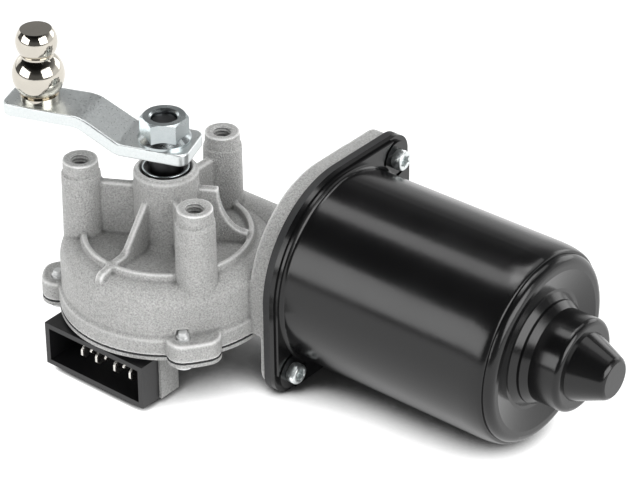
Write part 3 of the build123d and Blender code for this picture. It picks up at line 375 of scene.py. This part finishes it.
def add_form(form, rows, place):
    """Skins rows of points in millimetres, each a closed loop, moved by a matrix, and caps them."""
    loops = [[form.verts.new(place @ (point * MM)) for point in row] for row in rows]
    for lower, upper in zip(loops, loops[1:]):
        join_loops(form, lower, upper)
    form.faces.new(list(reversed(loops[0])))
    form.faces.new(loops[-1])


def circle_row(radius, height, segments):
    """Points of a circle at a height; the radius may be a function of the turn, from 0 to 1."""
    points = []
    for i in range(segments):
        turn = i / segments
        reach = radius(turn) if callable(radius) else radius
        angle = 2 * math.pi * turn
        points.append(Vector((reach * math.cos(angle), reach * math.sin(angle), height)))
    return points


def circle_rows(profile, segments, base=0.0):
    """Circles from pairs of a radius and a height over the base."""
    return [circle_row(radius, base + height, segments) for radius, height in profile]


def ring_form(form, profile, place, segments=64):
    """Ring turned from a closed profile of radii and heights in millimetres, moved by a matrix."""
    loops = [
        [form.verts.new(place @ (point * MM)) for point in row]
        for row in circle_rows(profile, segments)
    ]
    for lower, upper in zip(loops, loops[1:] + loops[:1]):
        join_loops(form, lower, upper)


def prism_tool(outline, place):
    """Tool object between two copies of an outline; place turns a, b and a side into a point."""
    form = bmesh.new()
    lower, upper = (
        [form.verts.new(Vector(place(a, b, side)) * MM) for a, b in outline] for side in (-1, 1)
    )
    join_loops(form, lower, upper)
    form.faces.new(lower)
    form.faces.new(list(reversed(upper)))
    return new_object("prism_tool", finished(form, "prism"))


def thread_rows(root, crest, pitch, length, fade, segments, steps, flare=None):
    """Rows of a screw thread that climbs +Z from 0, in millimetres.

    The thread fades out over a number of turns at each end, a row comes steps times in each
    turn, and the radius is nowhere less than flare gives for a height.
    """
    # A triangle wave, steepened and cut off, leaves flats at the root and the crest
    flank_gain = 1.35
    flank_shift = 0.175
    rows = []
    count = round(length / pitch * steps)
    for step in range(count + 1):
        height = length * step / count
        from_ends = (height / pitch / fade[0], (length - height) / pitch / fade[1])
        strength = max(0.0, min(1.0, *from_ends))
        least = flare(height) if flare else 0

        def radius(turn):
            phase = (height / pitch - turn) % 1
            lift = (1 - abs(2 * phase - 1)) * flank_gain - flank_shift
            lift = min(1.0, max(0.0, lift))
            return max(root + (crest - root) * lift * strength, least)

        rows.append(circle_row(radius, height, segments))
    return rows


def lobes(radius, swell):
    """Outline of a six-lobed recess."""
    return lambda turn: radius + swell * math.cos(12 * math.pi * turn)


def at(x, y, z, rotation=None):
    """Matrix that moves a form to a place in millimetres."""
    move = Matrix.Translation(Vector((x, y, z)) * MM)
    return move @ rotation if rotation else move


def on_circle(radius, degrees):
    """Both coordinates of a point on a circle."""
    angle = math.radians(degrees)
    return radius * math.cos(angle), radius * math.sin(angle)


# Sizes that the details share with the frame, in millimetres; z is 0 at the boss faces
parting = -46.5
boss_circle = 26.5
boss_angles = (90, 210, 330)
boss_hole = 2.5
armature_y = 30.7
armature_z = -33.2

# Housing: the solid as it leaves the die, with its corners rounded and its holes tapped.
# The sloping rib drops steeply and then runs flat over the ring, out to the drum's shoulder
rib_trim_outline = ((10.3, 38.1), (20.6, 24.3), (25.2, 23.95), (25.2, 40.0), (10.3, 40.0))
rib_trim_width = 3.4
rib_foot_outline = (
    (17.0, 20.0), (17.0, 26.0), (20.6, 24.4), (25.0, 24.0), (30.6, 22.9), (31.8, 21.9), (32.3, 19.0)
)
rib_foot_width = 2.7


def on_rib(width):
    """Places pairs of distance towards -Y and height over the parting in the rib's plane."""
    return lambda reach, height, side: (side * width / 2, -reach, parting + height)


rib_trim = prism_tool(rib_trim_outline, on_rib(rib_trim_width))
rib_foot = prism_tool(rib_foot_outline, on_rib(rib_foot_width))

# A round pad closes the bracket's pocket where the bracket is thin, under the parting
pad_radius = 26.4
pad_front_x = 37.75
pad_back_x = 36.0
pad_turns = range(208, 333, 4)
pad_middle = (pad_front_x + pad_back_x) / 2
pad_half = (pad_front_x - pad_back_x) / 2
pad_outline = [
    (armature_y + across, armature_z + rise)
    for across, rise in (on_circle(pad_radius, turn) for turn in pad_turns)
]
pocket_pad = prism_tool(pad_outline, lambda y, z, side: (pad_middle + side * pad_half, y, z))

# Taps cut the bosses' threads, and rings turn each boss down to a step at its top
tap_depth = 9.0
tap_overshoot = 0.6
tap_segments = 56
mouth_flare = 1.0
mouth_fade = 0.36
step_depth = 4.6
step_undercut = 0.15
step_foot_radius = 6.1
step_outside = 9.0
step_above = 1.0
step_top_radius = 5.44
# The step's wall leans in by a little in each of its rows, from just over its foot
wall_radius = 5.56
wall_lean = 0.01
wall_start = 0.2
wall_row_height = 0.38
wall_rows = 13
step_profile = [
    (step_top_radius, step_above),
    (step_outside, step_above),
    (step_outside, -step_depth - step_undercut),
    (step_foot_radius, -step_depth - step_undercut),
]
step_profile += [
    (wall_radius - wall_lean * row, -step_depth + wall_start + wall_row_height * row)
    for row in range(wall_rows)
]


def hole_flare(height):
    """Rounded mouth of a tapped hole, from the height over the hole's bottom."""
    depth = tap_depth - height
    return boss_hole + mouth_flare * math.exp(-max(depth, 0) / mouth_fade)


taps = bmesh.new()
for angle in boss_angles:
    place = at(*on_circle(boss_circle, angle), -tap_depth)
    rows = thread_rows(
        root=boss_hole - 0.1,
        crest=boss_hole + 0.62,
        pitch=1.2,
        length=tap_depth,
        fade=(1, 0.5),
        segments=tap_segments,
        steps=12,
        flare=hole_flare,
    )
    rows.append(circle_row(boss_hole + mouth_flare, tap_depth + tap_overshoot, tap_segments))
    add_form(taps, rows, place)
    ring_form(taps, step_profile, place @ at(0, 0, tap_depth))
tap_tool = new_object("tap_tool", finished(taps, "taps"))

cast_mesh = applied(plain_mesh(node_form("gear_housing"), "gear_housing_copy"), [
    boolean("DIFFERENCE", rib_trim),
    boolean("UNION", rib_foot),
    boolean("UNION", pocket_pad),
    *softened(voxel=0.00038, passes=6),
    boolean("DIFFERENCE", tap_tool),
])
for tool in (tap_tool, rib_trim, rib_foot, pocket_pad):
    bpy.data.objects.remove(tool)
shade_smooth(cast_mesh, sharp_angle=50)
store_bend(cast_mesh)
# The housing gets painted highlights on its edges and painted shade in its creases
new_piece(
    "housing_casting", cast_mesh, "housing", "cast_aluminium", ["gear_housing"], "cast_painted_edges"
)

# Shaft seal: the bright lip of its case
lip_radius = 7.0
lip_height = -0.3
lip_thickness = 0.28
lip_profile = [
    (lip_radius + across, lip_height + rise)
    for across, rise in (on_circle(lip_thickness, turn) for turn in range(0, 360, 30))
]
seal_lip = bmesh.new()
ring_form(seal_lip, lip_profile, Matrix.Identity(4), segments=96)
new_piece("seal_lip", finished(seal_lip, "seal_lip"), "housing", "zinc_steel")

# Thrust adjuster, screwed home: its nut and screw stand out less than the solids do
tunnel_end = -35.0
for name, share in (("thrust_locknut", 0.5), ("thrust_screw", 0.4)):
    adjuster = node_form(name)
    for vertex in adjuster.verts:
        beyond = tunnel_end - vertex.co.x / MM
        if beyond > 0:
            vertex.co.x = (tunnel_end - beyond * share) * MM
    new_piece(name + "_home", finished(adjuster, name + "_home"), "housing", slots[name], [name])

# Cover: its plate is a thin pressing, so its lower face comes up from the solid's
plate_bottom = -49.5
sheet_bottom = -48.2
cover_form = node_form("gear_cover")
for vertex in cover_form.verts:
    if abs(vertex.co.z / MM - plate_bottom) < SLACK:
        vertex.co.z = sheet_bottom * MM
cover_mesh = finished(cover_form, "cover_pressing", smooth_angle=30)
new_piece("cover_pressing", cover_mesh, "housing", "cast_aluminium", ["gear_cover"])

# Connector: in each pair of blades the second is the shorter
pair_lefts = (-9.2, -3.3, 4.2, 10.5)
second_blade = 2.0
blade_tips_below = -56.0
blade_shortening = 1.9
blades = node_form("connector_terminals")
for vertex in blades.verts:
    x = vertex.co.x / MM
    in_pair = x - max(left for left in pair_lefts if left < x + SLACK)
    if in_pair > second_blade and vertex.co.z / MM < blade_tips_below:
        vertex.co.z += blade_shortening * MM
blade_mesh = applied(finished(blades, "blades"), [("BEVEL", bevel(width=0.12, segments=2))])
new_piece("terminal_set", blade_mesh, "housing", "tinned_brass", ["connector_terminals"])

# Cover screws: rolled threads that stand out of the ears, pan heads with a recess under the cover.
# Each stands at an angle in degrees and a distance from the output shaft
ear_screws = ((-42.0, 34.0), (-142.5, 34.7), (147.0, 34.0), (43.0, 34.0))
tip_over_parting = 8.3
screw_length = parting + tip_over_parting - sheet_bottom
thread_start = 0.1
unthreaded = 0.5
shank_start = (1.72, -0.3)
shank_tip = (1.3, screw_length)
shank_segments = 40
head_segments = 48
pan_head = (
    (lobes(1.25, 0.2), -1.1),
    (lobes(1.3, 0.2), -2.26),
    (1.75, -2.3),
    (2.5, -2.27),
    (3.1, -2.0),
    (3.34, -1.55),
    (3.4, -1.1),
    (3.4, -0.12),
    (3.28, 0.0),
)
thread = thread_rows(
    root=1.42,
    crest=2.04,
    pitch=1.15,
    length=screw_length - unthreaded,
    fade=(0.6, 0.9),
    segments=shank_segments,
    steps=9,
)
shank = circle_rows([shank_start], shank_segments)
shank += [[point + Vector((0, 0, thread_start)) for point in row] for row in thread]
shank += circle_rows([shank_tip], shank_segments)
screws = bmesh.new()
for angle, distance in ear_screws:
    place = at(*on_circle(distance, angle), sheet_bottom)
    add_form(screws, shank, place)
    add_form(screws, circle_rows(pan_head, head_segments), place)
screw_mesh = finished(screws, "cover_screw_set")
new_piece("cover_screw_set", screw_mesh, "housing", "zinc_steel", ["cover_screws"], "zinc_dull")

# Can screws: knurled heads with a six-lobed recess, their axes along +X
can_screw_low, can_screw_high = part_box("can_screws")
can_screw_tip = can_screw_low.x / MM
tip_radius = 1.9
neck = 0.2
head_height = 3.2
head_radius = 3.3
knurl_teeth = 44
knurl_depth = 0.11
recess_swell = 0.26
can_screw_segments = 176
can_screw_places = (
    (can_screw_low.y / MM + head_radius, can_screw_low.z / MM + head_radius),
    (can_screw_high.y / MM - head_radius, can_screw_high.z / MM - head_radius),
)
along_x = Matrix.Rotation(math.radians(90), 4, "Y")


def knurl(turn):
    return head_radius - knurl_depth * (1 + math.cos(2 * math.pi * knurl_teeth * turn))


under_head = ((2.45, 0.0), (3.05, 0.0), (knurl, 0.25))
head_top = (
    (knurl, -0.6),
    (3.12, -0.4),
    (3.0, -0.16),
    (2.78, 0.0),
    (2.15, 0.0),
    (lobes(1.78, recess_swell), -0.14),
    (lobes(1.66, recess_swell), -0.4),
    (lobes(1.6, recess_swell), -1.8),
    (0.5, -2.2),
)
seat = can_screw_high.x / MM - head_height - can_screw_tip
thread = thread_rows(
    root=2.1,
    crest=2.46,
    pitch=0.8,
    length=seat - neck,
    fade=(0.8, 0.6),
    segments=can_screw_segments,
    steps=8,
)
can_screw_rows = [
    circle_row(tip_radius, 0.0, can_screw_segments),
    *thread[1:],
    *circle_rows(under_head, can_screw_segments, seat),
    *circle_rows(head_top, can_screw_segments, seat + head_height),
]
can_screws = bmesh.new()
for y, z in can_screw_places:
    add_form(can_screws, can_screw_rows, at(can_screw_tip, y, z, along_x))
can_screw_mesh = finished(can_screws, "can_screw_set")
new_piece("can_screw_set", can_screw_mesh, "housing", "zinc_steel", ["can_screws"], "crank_steel")

# Crank: a pressed bar with its edges rolled over
bar_mesh = applied(
    plain_mesh(node_form("crank_arm"), "crank_arm_copy"), softened(voxel=0.0003, passes=8)
)
shade_smooth(bar_mesh)
new_piece("crank_bar", bar_mesh, "output", "crank_steel", ["crank_arm"])

# Rounded edges on the nut and on the connector's rim
for name, width, segments in (("crank_nut", 0.2, 3), ("connector_shell", 0.25, 2)):
    rounding = nodes[name].modifiers.new("edge_rounding", "BEVEL")
    set_all(rounding, bevel(width, segments))
    rounding.harden_normals = True

# Floor: it glows white though it is no lamp, and its glow fades into a painted contact shadow close
# under the motor
low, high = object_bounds()
floor_half = 3.0
floor_mesh = bpy.data.meshes.new("floor")
floor_corners = [
    (x * floor_half, y * floor_half, low.z) for x, y in ((-1, -1), (1, -1), (1, 1), (-1, 1))
]
floor_mesh.from_pydata(floor_corners, [], [(0, 1, 2, 3)])
floor = new_object("floor", floor_mesh)
floor_look, floor_tree, floor_shader = new_material("floor_glow_painted_shadow")
floor_shader.inputs["Base Color"].default_value = (0.05, 0.05, 0.05, 1)
floor_shader.inputs["Roughness"].default_value = 0.8
# Painted shadow: ambient occlusion dims the floor's glow where the motor is near
openness = floor_tree.nodes.new("ShaderNodeAmbientOcclusion")
openness.samples = 40
openness.inputs["Distance"].default_value = 0.05
painted_shadow_glow = ramp(floor_tree, openness.outputs["AO"], 0.0, 1.2, low_at=0.18, high_at=0.43)
floor_shader.inputs["Emission Color"].default_value = (1, 1, 1, 1)
floor_tree.links.new(painted_shadow_glow, floor_shader.inputs["Emission Strength"])
floor_mesh.materials.append(floor_look)

# Room: a white sweep up to the horizon and a dark ceiling over it
world = bpy.data.worlds.new("studio")
bpy.context.scene.world = world
world.use_nodes = True
sky = world.node_tree
direction = sky.nodes.new("ShaderNodeTexCoord")
split = sky.nodes.new("ShaderNodeSeparateXYZ")
sky.links.new(direction.outputs["Generated"], split.inputs["Vector"])
sweep = sky.nodes.new("ShaderNodeValToRGB")
sweep.color_ramp.interpolation = "EASE"
stops = sweep.color_ramp.elements
stops[0].position = 0.22
stops[0].color = (0.9, 0.9, 0.9, 1)
stops[1].position = 0.74
stops[1].color = (0.05, 0.05, 0.05, 1)
middle_stop = stops.new(0.5)
middle_stop.color = (0.25, 0.25, 0.25, 1)
sky.links.new(split.outputs["Z"], sweep.inputs["Fac"])
# It is dark towards the front, so that the boxes show as windows in the bright parts
brightness = ramp(sky, split.outputs["Y"], 0.14, 1.0, low_at=-0.15, high_at=0.3)
shade = sky.nodes.new("ShaderNodeVectorMath")
shade.operation = "SCALE"
sky.links.new(sweep.outputs["Color"], shade.inputs[0])
sky.links.new(brightness, shade.inputs["Scale"])
sky.links.new(shade.outputs["Vector"], sky.nodes["Background"].inputs["Color"])


# Light boxes, placed from the motor's middle, in metres and watts

def area_light(name, position, target, width, height, power):
    data = bpy.data.lights.new(name, "AREA")
    data.shape = "RECTANGLE"
    data.size = width
    data.size_y = height
    data.energy = power
    light = new_object(name, data)
    light.location = position
    light.rotation_mode = "QUATERNION"
    light.rotation_quaternion = (target - position).to_track_quat("-Z", "Y")
    return light


centre = (low + high) / 2
boxes = {}
for name, offset, width, height, power in (
    ("front_box", (-0.46, -1.02, 0.38), 0.95, 0.58, 6.4),
    ("right_box", (1.08, -0.1, 0.52), 1.0, 0.8, 12),
    ("fill_box", (0.55, -0.95, 0.65), 0.7, 0.7, 5.5),
    ("left_box", (-1.15, 0.0, 0.3), 0.6, 0.5, 1),
    ("back_box", (0.25, 1.15, 0.3), 0.7, 0.5, 2),
    ("top_box", (0.15, 0.6, 1.0), 0.6, 0.5, 1.5),
    ("overhead_box", (-0.12, 0.3, 1.15), 0.5, 0.5, 2.5),
):
    boxes[name] = area_light(name, centre + Vector(offset), centre, width, height, power)
boxes["fill_box"].visible_glossy = False
strip = centre + Vector((-0.68, 0.07, 1.1))
area_light("top_strip", strip, strip - Vector((0, 0, 1)), 2.0, 0.34, 7)

# Camera matched to the photograph: azimuth, elevation and roll in degrees, place in metres
azimuth = math.radians(38.191)
elevation = math.radians(32.339)
roll = math.radians(0.177)
camera_place = Vector((0.44716, -0.49273, 0.39346))
focal_pixels = 2546.231
image_width = 640
camera_data = bpy.data.cameras.new("camera")
camera_data.sensor_width = 36
camera_data.lens = focal_pixels * camera_data.sensor_width / image_width
camera = new_object("camera", camera_data)
bpy.context.scene.camera = camera
back = Vector((
    math.sin(azimuth) * math.cos(elevation),
    -math.cos(azimuth) * math.cos(elevation),
    math.sin(elevation),
))
right = Vector((math.cos(azimuth), math.sin(azimuth), 0))
up = back.cross(right)
right, up = (
    right * math.cos(roll) + up * math.sin(roll),
    up * math.cos(roll) - right * math.sin(roll),
)
camera.matrix_world = Matrix((
    (right.x, up.x, back.x, camera_place.x),
    (right.y, up.y, back.y, camera_place.y),
    (right.z, up.z, back.z, camera_place.z),
    (0, 0, 0, 1),
))
bpy.context.scene.view_settings.view_transform = "Standard"
